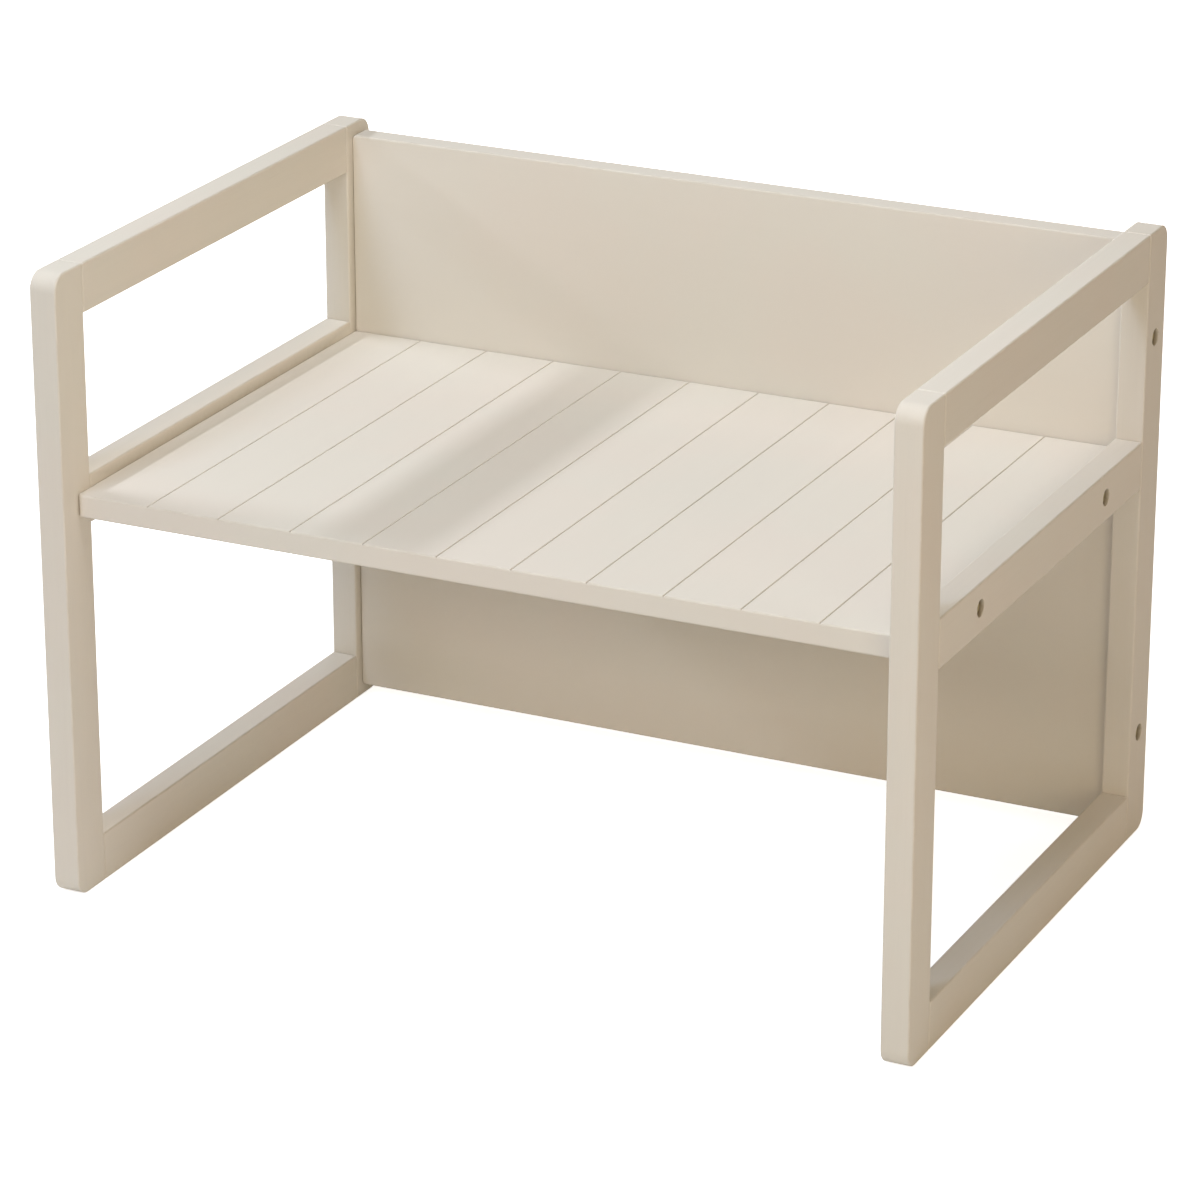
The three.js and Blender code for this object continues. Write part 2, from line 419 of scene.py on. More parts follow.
class GeometryWiring(GroupWiring):
    """The wiring of a geometry group that gives one geometry, in its finish."""

    def __init__(self, name: str, inputs: list[Plug], output: str) -> None:
        """Start the group, with a Finish after its own inputs.

        Args:
            name: The group's name.
            inputs: Its own inputs, in order.
            output: The name of its output.
        """
        finish = Plug("Finish", SocketKind.MATERIAL)
        outputs = [Plug(output, SocketKind.GEOMETRY)]
        super().__init__(name, TreeKind.GEOMETRY, [*inputs, finish], outputs)
        self.output = output

    def point(self) -> tuple[Socket, bpy.types.NodeOutputs]:
        """Where a point is: the vector, and its three parts.

        Returns:
            The vector's socket and the parts' outputs.
        """
        place = self.made("GeometryNodeInputPosition")
        return place, self.add("ShaderNodeSeparateXYZ", None, {0: place}).outputs

    def vector(self, *parts: Wire) -> Socket:
        """A vector from its three parts."""
        return self.made("ShaderNodeCombineXYZ", None, dict(enumerate(parts)))

    def bell(self, turn: Wire) -> Socket:
        """A smooth wave that is 1 where an angle is 0 and 0 half a turn on."""
        return self.times(self.plus(self.math("COSINE", turn), 1.0), 0.5)

    def sunk(self, geometry: Wire, amount: Wire) -> Socket:
        """Store how far each point of a geometry is sunk, for its finish to darken with dust and
        painted shade.

        Args:
            geometry: The geometry.
            amount: How far, 0 to 1.

        Returns:
            The same geometry's socket.
        """
        settings = {"data_type": "FLOAT", "domain": "POINT"}
        wires = {"Geometry": geometry, "Name": "recess", "Value": amount}
        return self.made("GeometryNodeStoreNamedAttribute", settings, wires)

    def moved(self, geometry: Wire, place: Wire) -> Socket:
        """A geometry with its points in new places."""
        wires = {"Geometry": geometry, "Position": place}
        return self.made("GeometryNodeSetPosition", None, wires)

    def instanced(self, points: Wire, instance: Wire, seed: int) -> Socket:
        """Put an instance on every point, facing its aim and turned at random about it.

        Args:
            points: The points.
            instance: What goes on each one.
            seed: The seed of the turns.

        Returns:
            The instances' socket.
        """
        vectors = {"data_type": "FLOAT_VECTOR"}
        aim = self.made("GeometryNodeInputNamedAttribute", vectors, {"Name": "aim"})
        facing = self.made("FunctionNodeAlignRotationToVector", {"axis": "Z"}, {"Vector": aim})
        spread = {2: 0.0, 3: math.tau, "Seed": seed}
        turn = self.add("FunctionNodeRandomValue", {"data_type": "FLOAT"}, spread).outputs[1]
        spin = {"Axis": (0.0, 0.0, 1.0), "Angle": turn}
        own = self.made("FunctionNodeAxisAngleToRotation", None, spin)
        turns = {"Rotation": facing, "Rotate By": own}
        rotation = self.made("FunctionNodeRotateRotation", {"rotation_space": "LOCAL"}, turns)
        wires = {"Points": points, "Instance": instance, "Rotation": rotation}
        return self.made("GeometryNodeInstanceOnPoints", None, wires)

    def finished(self, geometry: Wire) -> bpy.types.NodeTree:
        """Make what the group gives real, put its finish on and hand the group over.

        Args:
            geometry: What it gives.

        Returns:
            The group.
        """
        real = self.made("GeometryNodeRealizeInstances", None, {"Geometry": geometry})
        wires = {"Geometry": real, "Material": self.given["Finish"]}
        return self.give({self.output: self.made("GeometryNodeSetMaterial", None, wires)})


# Shader groups, each one an effect that several finishes use

class Effects:
    """The shader groups, each built once, when the first finish asks for it."""

    @staticmethod
    @cache
    def wood_grain() -> bpy.types.NodeTree:
        """Long grain: soft growth bands, finer fibre streaks and sparse open pores.

        Returns:
            The group.
        """
        band_share, pore_depth = 0.6, 0.5
        sheet = GroupWiring(
            "wood_grain",
            TreeKind.SHADER,
            [
                Plug("Vector", SocketKind.VECTOR),
                Plug("Bands", SocketKind.VECTOR, (40.0, 40.0, 2.0)),
                Plug("Fibres", SocketKind.VECTOR, (400.0, 400.0, 8.0)),
                Plug("Pores", SocketKind.NUMBER, 0.5),
            ],
            [Plug("Tone", SocketKind.NUMBER), Plug("Height", SocketKind.NUMBER)],
        )
        given = sheet.given
        band_place = sheet.scaled(given["Vector"], given["Bands"])
        bands = sheet.noise(band_place, scale=1.0, detail=3.0, roughness=0.45)
        fibre_place = sheet.scaled(given["Vector"], given["Fibres"])
        fibres = sheet.noise(fibre_place, scale=1.0, detail=4.0, roughness=0.6)
        pits = sheet.ranged(sheet.noise(fibre_place, scale=2.3, detail=2.0), old=(0.62, 0.74))
        pores = sheet.times(pits, given["Pores"])
        tone = sheet.plus(sheet.times(bands, band_share), sheet.times(fibres, 1 - band_share))
        return sheet.give({
            "Tone": sheet.minus(tone, pores),
            "Height": sheet.minus(tone, sheet.times(pores, pore_depth)),
        })

    @staticmethod
    @cache
    def sprayed_skin() -> bpy.types.NodeTree:
        """The skin of a sprayed lacquer: a slight orange peel, dust nibs and uneven gloss.

        Returns:
            The group.
        """
        nib_cells, cells_without, nib_reach = 260.0, 0.94, 0.12
        sheet = GroupWiring(
            "sprayed_skin",
            TreeKind.SHADER,
            [
                Plug("Vector", SocketKind.VECTOR),
                Plug("Peel", SocketKind.NUMBER, 650.0),
                Plug("Nibs", SocketKind.NUMBER, 0.4),
                Plug("Roughness", SocketKind.NUMBER, 0.42),
                Plug("Unevenness", SocketKind.NUMBER, 0.06),
            ],
            [Plug("Height", SocketKind.NUMBER), Plug("Roughness", SocketKind.NUMBER)],
        )
        given = sheet.given
        peel = sheet.noise(given["Vector"], scale=given["Peel"], detail=1.5, roughness=0.4)
        specks = sheet.cells(given["Vector"], nib_cells)
        rare = sheet.math("GREATER_THAN", sheet.red(specks["Color"]), cells_without)
        dome = sheet.ranged(specks["Distance"], old=(0.0, nib_reach), new=(1.0, 0.0))
        nib = sheet.times(dome, rare, given["Nibs"])
        cloud = sheet.noise(given["Vector"], scale=22.0, detail=4.0, roughness=0.6)
        spread = sheet.times(sheet.minus(cloud, 0.5), 2.0, given["Unevenness"])
        return sheet.give({
            "Height": sheet.plus(peel, nib),
            "Roughness": sheet.math("ADD", given["Roughness"], spread, clamp=True),
        })

    @staticmethod
    @cache
    def lacquer_tone() -> bpy.types.NodeTree:
        """A lacquer's colour: faint clouds, a shade of its own for each member, and painted shade
        on the arrises that damps their highlight.

        Returns:
            The group.
        """
        rosy_tint, fresh_tint = (1.012, 0.988, 0.982, 1.0), (0.992, 1.004, 1.0, 1.0)
        member_spread = 0.012
        sheet = GroupWiring(
            "lacquer_tone",
            TreeKind.SHADER,
            [
                Plug("Color", SocketKind.COLOUR, (0.7, 0.65, 0.55, 1.0)),
                Plug("Vector", SocketKind.VECTOR),
                Plug("Clouds", SocketKind.NUMBER, 0.5),
                Plug("Grain", SocketKind.NUMBER, 0.5),
                Plug("Grain amount", SocketKind.NUMBER, 0.05),
                Plug("Arris", SocketKind.NUMBER, 0.0),
                Plug("Arris amount", SocketKind.NUMBER, 0.15),
                Plug("Arris color", SocketKind.COLOUR, (0.44, 0.37, 0.27, 1.0)),
                Plug("Member", SocketKind.NUMBER, 0.0),
            ],
            [Plug("Color", SocketKind.COLOUR)],
        )
        given = sheet.given
        rosy = sheet.mix(1.0, given["Color"], rosy_tint, "MULTIPLY")
        fresh = sheet.mix(1.0, given["Color"], fresh_tint, "MULTIPLY")
        cloud = sheet.noise(given["Vector"], scale=9.0, detail=3.0, roughness=0.55)
        cloudy = sheet.mix(sheet.ranged(cloud, old=(0.4, 0.6)), rosy, fresh)
        clouded = sheet.mix(given["Clouds"], given["Color"], cloudy)
        grain = sheet.times(sheet.minus(given["Grain"], 0.5), given["Grain amount"])
        shade = sheet.plus(sheet.times(given["Member"], member_spread), grain)
        factor = sheet.plus(1.0, shade)
        grey = sheet.made("ShaderNodeCombineColor", None, {0: factor, 1: factor, 2: factor})
        grained = sheet.mix(1.0, clouded, grey, "MULTIPLY")
        # Painted shade along the rounded arrises, broken into patches, to damp their highlight
        patches = sheet.noise(given["Vector"], scale=55.0, detail=3.0, roughness=0.6)
        broken = sheet.ranged(patches, old=(0.35, 0.65), new=(0.35, 1.0))
        arris_shade = sheet.times(given["Arris"], broken, given["Arris amount"])
        return sheet.give({"Color": sheet.mix(arris_shade, grained, given["Arris color"])})

    @staticmethod
    @cache
    def settled_dust() -> bpy.types.NodeTree:
        """Painted shade and dust laid in a groove, a counterbore or a flute.

        Returns:
            The group.
        """
        dust_roughness = 0.35
        sheet = GroupWiring(
            "settled_dust",
            TreeKind.SHADER,
            [
                Plug("Color", SocketKind.COLOUR, (0.7, 0.65, 0.55, 1.0)),
                Plug("Roughness", SocketKind.NUMBER, 0.4),
                Plug("Vector", SocketKind.VECTOR),
                Plug("Place", SocketKind.NUMBER, 0.0),
                Plug("Amount", SocketKind.NUMBER, 0.5),
                Plug("Dust", SocketKind.COLOUR, (0.26, 0.21, 0.15, 1.0)),
            ],
            [Plug("Color", SocketKind.COLOUR), Plug("Roughness", SocketKind.NUMBER)],
        )
        given = sheet.given
        patches = sheet.noise(given["Vector"], scale=180.0, detail=3.0, roughness=0.6)
        broken = sheet.ranged(patches, old=(0.3, 0.7), new=(0.75, 1.0))
        # The deeper a point is sunk, the more dust and painted shade it gets
        full = sheet.times(given["Place"], broken)
        share = sheet.math("MULTIPLY", full, given["Amount"], clamp=True)
        rougher = sheet.times(share, dust_roughness)
        return sheet.give({
            "Color": sheet.mix(share, given["Color"], given["Dust"]),
            "Roughness": sheet.math("ADD", given["Roughness"], rougher, clamp=True),
        })


# Finishes

@dataclass(frozen=True)
class Finish:
    """A finish: what every material on the bench has in common."""

    name: str

    RELIEF_DEPTH: ClassVar[float]
    RELIEF_STRENGTH: ClassVar[float]

    def dressed(
        self, sheet: MaterialWiring, height: Wire, dust: dict[str, Wire]
    ) -> bpy.types.Material:
        """Lay dust and painted shade in a material's recesses, and give it its colour, roughness
        and bump.

        Args:
            sheet: The material's wiring.
            height: The height of its relief, about 0 to 1.
            dust: The colour and roughness under the dust and painted shade, and what these are
                like.

        Returns:
            The material, ready to be put on a piece.
        """
        place = {"Vector": sheet.place, "Place": sheet.attribute("recess")}
        surface = sheet.use(Effects.settled_dust(), {**place, **dust})
        relief = {
            "Height": height,
            "Distance": self.RELIEF_DEPTH,
            "Strength": self.RELIEF_STRENGTH,
        }
        sheet.feed({
            "Base Color": surface["Color"],
            "Roughness": surface["Roughness"],
            "Normal": sheet.made("ShaderNodeBump", None, relief),
        })
        return sheet.material


@dataclass(frozen=True)
class Lacquer(Finish):
    """A satin, opaque lacquer on solid wood or on smooth board."""

    colour: Colour
    run: Run
    roughness: float = 0.66
    sheen: float = 0.12
    pores: float = 0.35
    peel_relief: float = 0.3
    grain_relief: float = 0.35
    grain_amount: float = 0.07
    # How strong the painted shade on the arrises is, which damps their highlight
    arris_amount: float = 0.3
    # Dust and painted shade in its grooves and holes: how strong, and their colour
    dust_amount: float = 0.95
    dust: Colour = (0.18, 0.14, 0.07)

    RELIEF_DEPTH = 0.12 * MM
    RELIEF_STRENGTH = 0.5

    def material(self) -> bpy.types.Material:
        """Build the material.

        Returns:
            The material.
        """
        sheet = MaterialWiring(self.name)
        grain = sheet.use(Effects.wood_grain(), {
            "Vector": sheet.place,
            "Bands": self.run.stretch(along=1.6, across=55.0),
            "Fibres": self.run.stretch(along=9.0, across=620.0),
            "Pores": self.pores,
        })
        skin = sheet.use(Effects.sprayed_skin(), {
            "Vector": sheet.place,
            "Roughness": self.roughness,
        })
        tone = sheet.use(Effects.lacquer_tone(), {
            "Color": (*self.colour, 1.0),
            "Vector": sheet.place,
            "Grain": grain["Tone"],
            "Grain amount": self.grain_amount,
            "Arris": sheet.attribute("arris"),
            "Arris amount": self.arris_amount,
            "Member": sheet.attribute("member"),
        })
        sheet.feed({"Specular IOR Level": self.sheen})
        peel = sheet.times(skin["Height"], self.peel_relief)
        telegraphed = sheet.times(grain["Height"], self.grain_relief)
        return self.dressed(sheet, sheet.plus(peel, telegraphed), {
            "Color": tone["Color"],
            "Roughness": skin["Roughness"],
            "Amount": self.dust_amount,
            "Dust": (*self.dust, 1.0),
        })


@dataclass(frozen=True)
class BareBeech(Finish):
    """Turned beech with its short dark rays, as grooved dowels have it."""

    colour: Colour
    dark: Colour
    run: Run
    roughness: float = 0.72
    # Dust and painted shade in the flutes
    dust_amount: float = 0.5

    RELIEF_DEPTH = 0.08 * MM
    RELIEF_STRENGTH = 0.7

    def material(self) -> bpy.types.Material:
        """Build the material.

        Returns:
            The material.
        """
        sheet = MaterialWiring(self.name)
        light, dark = (*self.colour, 1.0), (*self.dark, 1.0)
        grain = sheet.use(Effects.wood_grain(), {
            "Vector": sheet.place,
            "Bands": self.run.stretch(along=20.0, across=420.0),
            "Fibres": self.run.stretch(along=90.0, across=2600.0),
            "Pores": 1.0,
        })
        ray_place = sheet.scaled(sheet.place, self.run.stretch(along=420.0, across=2400.0))
        rays = sheet.noise(ray_place, scale=1.0, detail=1.0)
        flecks = sheet.ranged(rays, old=(0.6, 0.68), new=(0.0, 0.6))
        return self.dressed(sheet, grain["Height"], {
            "Color": sheet.mix(flecks, sheet.mix(grain["Tone"], dark, light), dark),
            "Roughness": self.roughness,
            "Amount": self.dust_amount,
        })


@dataclass(frozen=True)
class ZincedSteel(Finish):
    """Yellowed zinc on a turned steel screw, with the marks of the lathe on its head."""

    colour: Colour
    roughness: float = 0.36
    ring_roughness: float = 0.18
    dull: float = 0.62
    dull_share: float = 0.4
    # Dust and painted shade in the hex socket and under the head
    dust_amount: float = 0.8
    dust: Colour = (0.1, 0.085, 0.055)

    RELIEF_DEPTH = 0.02 * MM
    RELIEF_STRENGTH = 0.6

    def material(self) -> bpy.types.Material:
        """Build the material.

        Returns:
            The material.
        """
        sheet = MaterialWiring(self.name)
        lathe = {"W": sheet.attribute("radius"), "Scale": 5200.0, "Detail": 3.0}
        rings = sheet.made("ShaderNodeTexNoise", {"noise_dimensions": "1D"}, lathe)
        bloom = sheet.red(sheet.cells(sheet.place, scale=900.0)["Color"])
        bright = (*self.colour, 1.0)
        dull = (*(part * self.dull for part in self.colour), 1.0)
        sheet.feed({"Metallic": 1.0})
        return self.dressed(sheet, rings, {
            "Color": sheet.mix(sheet.times(bloom, self.dull_share), bright, dull),
            "Roughness": sheet.plus(self.roughness, sheet.times(rings, self.ring_roughness)),
            "Amount": self.dust_amount,
            "Dust": (*self.dust, 1.0),
        })


@dataclass(frozen=True)
class Palette:
    """The bench's own finishes, each made once."""

    uprights: bpy.types.Material
    rails: bpy.types.Material
    seat: bpy.types.Material
    back: bpy.types.Material
    dowels: bpy.types.Material
    screws: bpy.types.Material

    @classmethod
    def mixed(cls) -> "Palette":
        """Mix every finish.

        Returns:
            The palette.
        """
        frame_colour = (0.685, 0.632, 0.542)
        board_colour = (0.705, 0.65, 0.56)
        beech, dark_beech = (0.62, 0.42, 0.25), (0.42, 0.25, 0.13)
        zinc = (0.44, 0.36, 0.2)
        along = Run.FRONT_TO_BACK
        finishes = {
            "uprights": Lacquer("frame_lacquer_upright", frame_colour, Run.UPRIGHT),
            "rails": Lacquer("frame_lacquer_rail", frame_colour, along),
            "seat": Lacquer(
                "board_lacquer_seat", board_colour, along, roughness=0.7, grain_relief=0.12,
                # The seat's grooves get lighter dust and painted shade
                grain_amount=0.025, dust_amount=0.42, dust=(0.26, 0.21, 0.15),
            ),
            "back": Lacquer(
                "board_lacquer_back", board_colour, Run.ACROSS, roughness=0.7,
                grain_relief=0.08, grain_amount=0.015,
            ),
            "dowels": BareBeech("dowel_beech", beech, dark_beech, along),
            "screws": ZincedSteel("screw_zinc", zinc),
        }
        return cls(**{use: finish.material() for use, finish in finishes.items()})


# Mesh code

@dataclass
class Shell:
    """A closed surface that is being gathered, with how much painted shade each point gets on an
    arris and how sunk it is.
    """

    points: list[Vector] = field(default_factory=list)
    faces: list[tuple[int, ...]] = field(default_factory=list)
    arris: list[float] = field(default_factory=list)
    recess: list[float] = field(default_factory=list)

    WELD: ClassVar[float] = 0.002 * MM
    SLIVER: ClassVar[float] = 0.001 * MM
    SMOOTH_BELOW: ClassVar[float] = math.radians(38)

    def ring(
        self, points: list[Vector], arris: float | list[float] = 0.0, recess: float = 0.0
    ) -> list[int]:
        """Add a ring of points.

        Args:
            points: The points, in order.
            arris: How much painted shade they get as part of a rounded edge, 0 to 1.
            recess: How far they are sunk in a groove or hole, 0 to 1, which sets their dust and
                painted shade.

        Returns:
            Their numbers.
        """
        start = len(self.points)
        self.points += points
        self.arris += arris if isinstance(arris, list) else [arris] * len(points)
        self.recess += [recess] * len(points)
        return list(range(start, len(self.points)))

    def bridge(self, one: list[int], other: list[int], skip: set[int] = frozenset()) -> None:
        """Join two rings of as many points with a band of faces.

        Args:
            one: The first ring.
            other: The second ring.
            skip: The places along the band that stay open.
        """
        for here in range(len(one)):
            after = (here + 1) % len(one)
            if here not in skip:
                self.faces.append((one[here], one[after], other[after], other[here]))

    def sleeve(self, rings: list[list[int]]) -> None:
        """Join each ring to the next."""
        for one, other in pairwise(rings):
            self.bridge(one, other)

    def fill(self, rim: list[int], holes: list[list[int]] | None = None) -> None:
        """Fill a flat region with faces.

        Args:
            rim: The ring round it.
            holes: The rings of the holes in it.
        """
        if not holes:
            self.faces.append(tuple(rim))
            return
        rings = [rim, *holes]
        order = [number for ring in rings for number in ring]
        drawn = tessellate_polygon([[self.points[number] for number in ring] for ring in rings])
        self.faces += [tuple(order[corner] for corner in face) for face in drawn]

    def mesh(self, name: str, lie: Matrix) -> bpy.types.Mesh:
        """Make the surface a mesh in the bench's frame.

        Args:
            name: The mesh's name.
            lie: The transform from the surface's own axes to the bench's frame.

        Returns:
            The mesh, closed, smooth over its roundings and sharp at its corners.
        """
        mesh = bpy.data.meshes.new(name)
        mesh.from_pydata([lie @ point for point in self.points], [], self.faces)
        set_numbers(mesh, "arris", self.arris)
        set_numbers(mesh, "recess", self.recess)
        work = bmesh.new()
        work.from_mesh(mesh)
        bmesh.ops.remove_doubles(work, verts=work.verts, dist=self.WELD)
        bmesh.ops.dissolve_degenerate(work, edges=work.edges, dist=self.SLIVER)
        bmesh.ops.recalc_face_normals(work, faces=work.faces)
        work.to_mesh(mesh)
        work.free()
        mesh.shade_smooth()
        mesh.set_sharp_from_angle(angle=self.SMOOTH_BELOW)
        return mesh


def set_numbers(mesh: bpy.types.Mesh, name: str, numbers: list[float]) -> None:
    """Give every point of a mesh a number, under a name that its finish reads."""
    mesh.attributes.new(name, "FLOAT", "POINT").data.foreach_set("value", numbers)


def round_ring(
    middle: tuple[float, float], radius: float, count: int
) -> list[tuple[float, float]]:
    """Points evenly round a circle.

    Args:
        middle: The circle's middle.
        radius: Its radius.
        count: How many points.

    Returns:
        The points.
    """
    turns = (math.tau * step / count for step in range(count))
    return [
        (middle[0] + radius * math.cos(turn), middle[1] + radius * math.sin(turn))
        for turn in turns
    ]


@dataclass(frozen=True)
class Counterbore:
    """A stepped screw hole through a plate, with its wide mouth on one face."""

    u: float
    v: float
    face: int
    mouth_radius: float = 6 * MM
    mouth_depth: float = 8 * MM
    neck_radius: float = 3.7 * MM
    head_level: float = 2.7 * MM
    rim_ease: float = 0.35 * MM
    sides: int = 48

    # In eases of the rim: the land's outer edge, the rounding's middle, the wall clear of it
    LAND: ClassVar[float] = 1.6
    HALFWAY: ClassVar[float] = 0.3
    CLEAR: ClassVar[float] = 3

    def cut(self, shell: Shell, half: float) -> dict[int, list[int]]:
        """Line the hole.

        Args:
            shell: The plate's surface.
            half: Half of the plate's thickness.

        Returns:
            The ring that it leaves in each face of the plate, by the face's sign.
        """
        mouth, ease, neck = self.mouth_radius, self.rim_ease, self.neck_radius
        floor = half - self.mouth_depth
        # Radius, level, how far it lies on the rounded rim, and how far it is sunk; these last two
        # set the painted shade on each ring, the hole darkest at its floor
        lining = (
            (mouth + ease * self.LAND, half, 0.0, 0.0),
            (mouth + ease, half, 0.3, 0.0),
            (mouth + ease * self.HALFWAY, half - ease * self.HALFWAY, 1.0, 0.1),
            (mouth, half - ease, 0.4, 0.2),
            (mouth, half - ease * self.CLEAR, 0.0, 0.35),
            (mouth, half - self.head_level, 0.0, 0.75),
            (mouth, floor + ease, 0.0, 0.95),
            (mouth, floor, 0.0, 1.0),
            (neck, floor, 0.0, 1.0),
            (neck, -half, 0.0, 0.6),
        )
        rings = []
        for radius, w, arris, recess in lining:
            circle = round_ring((self.u, self.v), radius, self.sides)
            points = [Vector((u, v, w * self.face)) for u, v in circle]
            rings.append(shell.ring(points, arris, recess))
        shell.sleeve(rings)
        return {self.face: rings[0], -self.face: rings[-1]}


@dataclass(frozen=True)
class EndBore:
    """A blind bore into one of a plate's edges."""

    edge: Edge
    place: float
    radius: float
    depth: float
    land: float = 0.4 * MM
    sides: int = 24

    def cut(self, shell: Shell, reach: float) -> list[int]:
        """Line the bore.

        Args:
            shell: The plate's surface.
            reach: How far the edge is from the plate's middle.

        Returns:
            The ring that it leaves in the edge.
        """
        # Radius, level, and how far it is sunk, which sets its dust and painted shade
        lining = (
            (self.radius + self.land, reach, 0.0),
            (self.radius, reach, 0.4),
            (self.radius, reach - self.depth, 1.0),
        )
        rings = []
        for radius, level, recess in lining:
            points = []
            for along, w in round_ring((self.place, 0.0), radius, self.sides):
                point = Vector((along, along, w))
                point[self.edge.axis] = self.edge.sign * level
                points.append(point)
            rings.append(shell.ring(points, recess=recess))
        shell.sleeve(rings)
        shell.fill(rings[-1])
        return rings[0]


@dataclass(frozen=True)
class OutlinePoint:
    """A point of a plate's outline: its corner's middle, its way out, how much painted shade its
    arris gets.
    """

    pivot: tuple[float, float]
    radius: float
    out: tuple[float, float]
    toward: tuple[int, int]
    worn: float

    def inset(self, by: tuple[float, float]) -> tuple[float, float]:
        """The point moved inwards, with a mitre where the corner is tighter than the move.

        Args:
            by: How far inwards along u and v.

        Returns:
            The place.
        """
        return tuple(
            pivot + max(self.radius - move, 0.0) * out + min(self.radius - move, 0.0) * toward
            for pivot, move, out, toward in zip(self.pivot, by, self.out, self.toward)
        )


@dataclass(frozen=True)
class Level:
    """One ring of a plate's rounding, by shares of the arris and moves in metres."""

    inward: float
    down: float
    worn: float = 0.0
    further_inward: float = 0.0
    further_down: float = 0.0


@dataclass
class EasedPlate:
    """A flat member of lacquered stock: rounded corners and arrises, screw holes and bores.

    Each corner radius is that of the corner after its edge.
    """

    width: float
    height: float
    thickness: float
    corner_radii: tuple[float, float, float, float]
    arris: tuple[float, float]
    stops: list[float] = field(default_factory=list)
    counterbores: list[Counterbore] = field(default_factory=list)
    end_bores: list[EndBore] = field(default_factory=list)
    joints: tuple[Edge, ...] = ()
    corner_steps: int = 14
    tight_corner_steps: int = 5
    arris_steps: int = 7
    guard: float = 0.25 * MM

    @property
    def half(self) -> tuple[float, float]:
        """Half of the plate's size along u and v."""
        return self.width / 2, self.height / 2

    def wear(self, edge: Edge) -> float:
        """How much painted shade an edge's arris gets: none where another member butts against it.
        """
        return 0.0 if edge in self.joints else 1.0

    def outline(self) -> tuple[list[OutlinePoint], dict[Edge, int]]:
        """The plate's outline, anticlockwise from the lower end of its +u edge.

        Returns:
            The points, and for each edge the number of its first point.
        """
        points: list[OutlinePoint] = []
        starts: dict[Edge, int] = {}
        for edge, toward in zip(Edge, ((1, 1), (-1, 1), (-1, -1), (1, -1))):
            starts[edge] = len(points)
            points += self.side_points(edge)
            radius = self.corner_radii[edge]
            pivot = tuple(sign * (half - radius) for sign, half in zip(toward, self.half))
            steps = self.corner_steps if radius > self.arris[0] else self.tight_corner_steps
            worn = min(self.wear(edge), self.wear(edge.following))
            for step in range(steps + 1):
                turn = math.radians(90 * (edge + step / steps))
                out = (math.cos(turn), math.sin(turn))
                points.append(OutlinePoint(pivot, radius, out, toward, worn))
        return points, starts

    def side_points(self, edge: Edge) -> list[OutlinePoint]:
        """The points of one straight edge, clear of the corners at its ends.

        Args:
            edge: The edge.

        Returns:
            Its points, anticlockwise.
        """
        across, along = edge.axis, 1 - edge.axis
        forward = 1 if edge in (Edge.PLUS_U, Edge.MINUS_V) else -1
        before, after = (
            self.half[along] - max(self.corner_radii[corner], *self.arris) - self.guard
            for corner in (edge - 1, edge)
        )
        stops = sorted(self.stops, reverse=forward < 0) if across == 1 else []
        out = tuple(edge.sign if axis == across else 0 for axis in range(2))
        made = []
        for place in (-forward * before, *stops, forward * after):
            pivot = tuple(
                edge.sign * self.half[across] if axis == across else place for axis in range(2)
            )
            made.append(OutlinePoint(pivot, 0.0, out, out, self.wear(edge)))
        return made

    def levels(self) -> list[Level]:
        """The rings from a face, over the arris and down to the edge.

        Returns:
            The levels, with a guard ring just beside each end of the rounding.
        """
        turns = [
            math.radians(90 * step / self.arris_steps)
            for step in range(self.arris_steps, -1, -1)
        ]
        return [
            Level(1, 0, further_inward=self.guard),
            # The third number is how much painted shade the ring gets, most at the rounding's
            # middle
            *(Level(1 - math.cos(turn), 1 - math.sin(turn), math.sin(2 * turn)) for turn in turns),
            Level(0, 1, further_down=self.guard),
        ]

    def ring(self, shell: Shell, points: list[OutlinePoint], level: Level, face: int) -> list[int]:
        """Add the outline at one level of the plate.

        Args:
            shell: The plate's surface.
            points: The outline.
            level: The level.
            face: The sign of the face that it is measured from.

        Returns:
            The ring.
        """
        moves = tuple(size * level.inward + level.further_inward for size in self.arris)
        places = []
        for point in points:
            arris = self.arris[0] * point.out[0] ** 2 + self.arris[1] * point.out[1] ** 2
            w = self.thickness / 2 - arris * level.down - level.further_down
            places.append(Vector((*point.inset(moves), w * face)))
        return shell.ring(places, [level.worn * point.worn for point in points])

    def mesh(self, name: str, lie: Matrix) -> bpy.types.Mesh:
        """Build the plate.

        Args:
            name: The mesh's name.
            lie: The transform from the plate's axes to the bench's frame.

        Returns:
            The plate's mesh.
        """
        shell = Shell()
        points, starts = self.outline()
        holes: dict[int, list[list[int]]] = {1: [], -1: []}
        for bore in self.counterbores:
            for face, ring in bore.cut(shell, self.thickness / 2).items():
                holes[face].append(ring)
        rims: dict[int, list[int]] = {}
        walls: dict[int, list[int]] = {}
        for face in (1, -1):
            rings = [self.ring(shell, points, level, face) for level in self.levels()]
            shell.sleeve(rings)
            rims[face], walls[face] = rings[0], rings[-1]
        bored = [edge for edge in Edge if any(bore.edge is edge for bore in self.end_bores)]
        shell.bridge(walls[1], walls[-1], {starts[edge] for edge in bored})
        for edge in bored:
            here, after = starts[edge], starts[edge] + 1
            rim = [walls[1][here], walls[1][after], walls[-1][after], walls[-1][here]]
            reach = self.half[edge.axis]
            shell.fill(rim, [
                bore.cut(shell, reach) for bore in self.end_bores if bore.edge is edge
            ])
        for face, rim in rims.items():
            if self.stops:
                self.strip_face(shell, rim, starts)
            else:
                shell.fill(rim, holes[face])
        return shell.mesh(name, lie)

